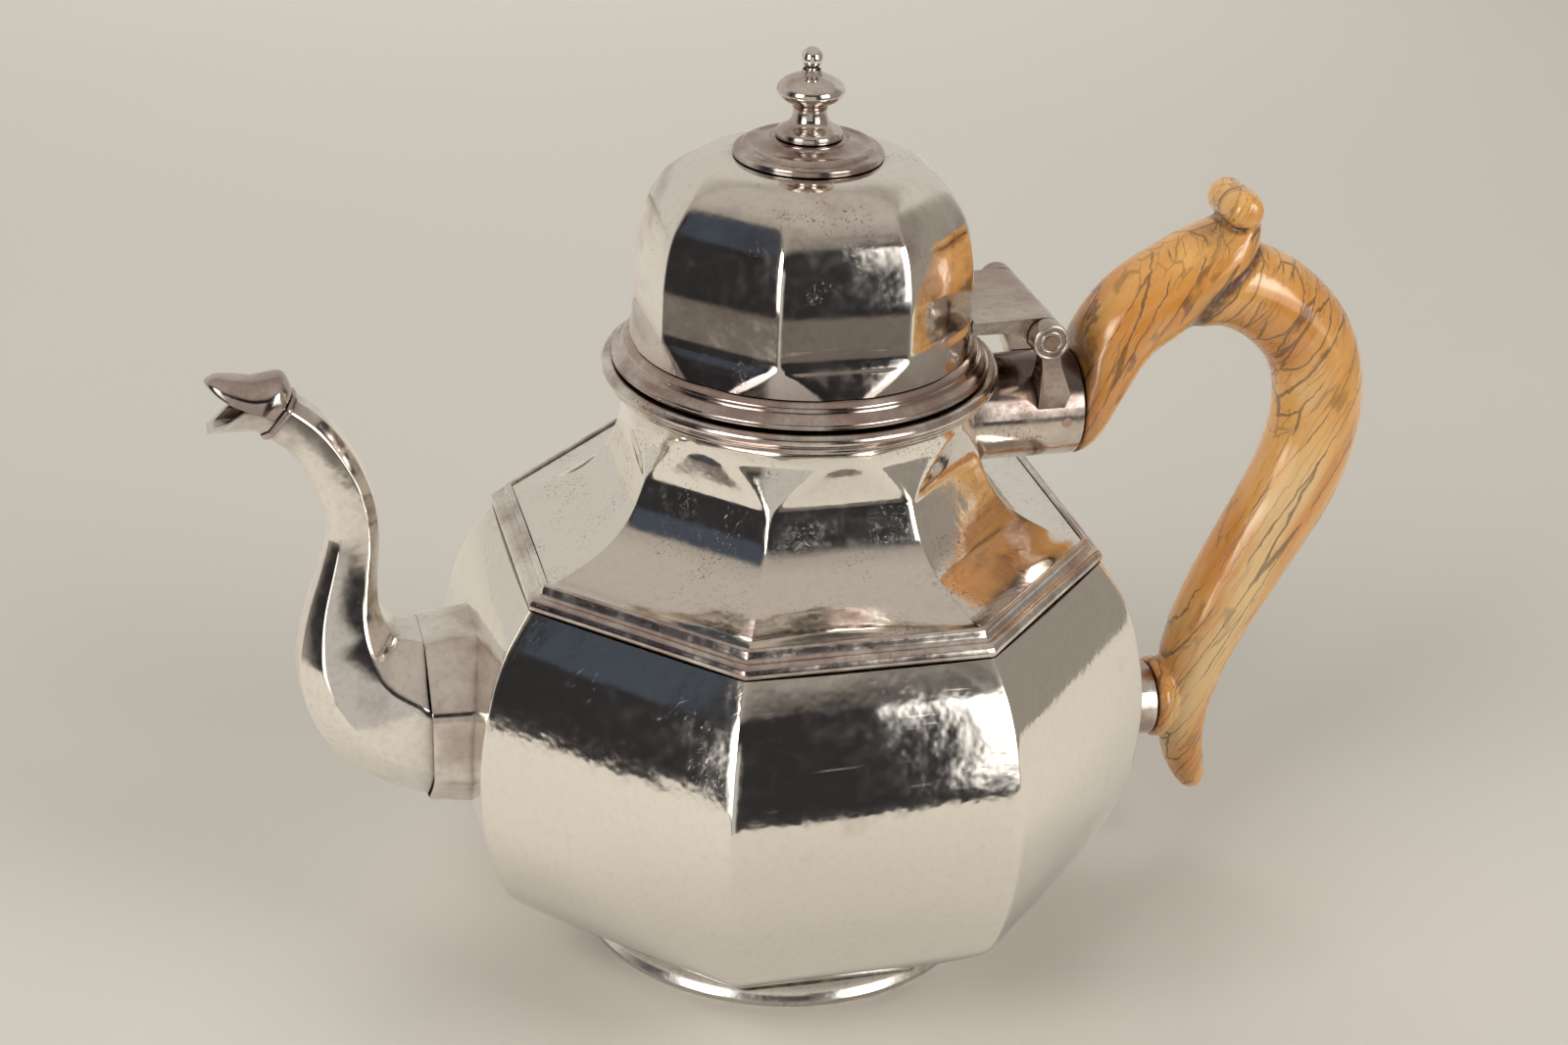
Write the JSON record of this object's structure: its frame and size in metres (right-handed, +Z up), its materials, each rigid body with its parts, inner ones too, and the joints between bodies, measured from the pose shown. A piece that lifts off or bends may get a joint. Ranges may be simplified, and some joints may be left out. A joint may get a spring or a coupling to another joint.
{
  "type": "teapot",
  "caption": "Eight-sided silver teapot with a swan-neck spout, an open bill under a fixed hood, a domed lid on a rear hinge and a carved ivory handle held in two sockets.",
  "frame": {"origin": "middle of the bounding box in plan, at the flat underside of the foot ring", "axes": "+X from the spout to the handle, +Y across the pot, +Z up"},
  "size_m": [0.2075, 0.1198, 0.1641],
  "materials": {
    "bright_silver": "polished silver, worn with fine scratches",
    "mid_silver": "polished silver with light tarnish in its hollows",
    "dark_silver": "duller, tarnished silver",
    "ivory": "glossy aged ivory, honey brown"
  },
  "bodies": {
    "pot": {"lower_bowl": "bright_silver", "shoulder_shell": "bright_silver", "girdle_moulding": "mid_silver", "rim_ring": "mid_silver", "foot_ring": "bright_silver", "spout_tube": "mid_silver", "spout_collar": "mid_silver", "spout_neck_band": "mid_silver", "spout_hood": "mid_silver", "upper_socket": "mid_silver", "lower_socket": "mid_silver", "handle": "ivory", "upper_handle_pin": "dark_silver", "lower_handle_pin": "dark_silver", "hinge_knuckle_near": "dark_silver", "hinge_knuckle_far": "dark_silver", "hinge_pin": "dark_silver"},
    "lid": {"lid_dome": "bright_silver", "lid_flange": "mid_silver", "lid_bezel": "mid_silver", "hinge_leaf": "dark_silver", "finial_plate": "mid_silver", "finial_knob": "mid_silver", "finial_stud": "dark_silver", "finial_washer": "dark_silver", "finial_nut": "dark_silver"}
  },
  "joints": [
    {"name": "lid_hinge", "type": "hinge", "parent": "pot", "child": "lid", "pos_m": [0.0366, 0, 0.1155], "axis": [0, 1, 0], "range_deg": [0, 92]}
  ]
}
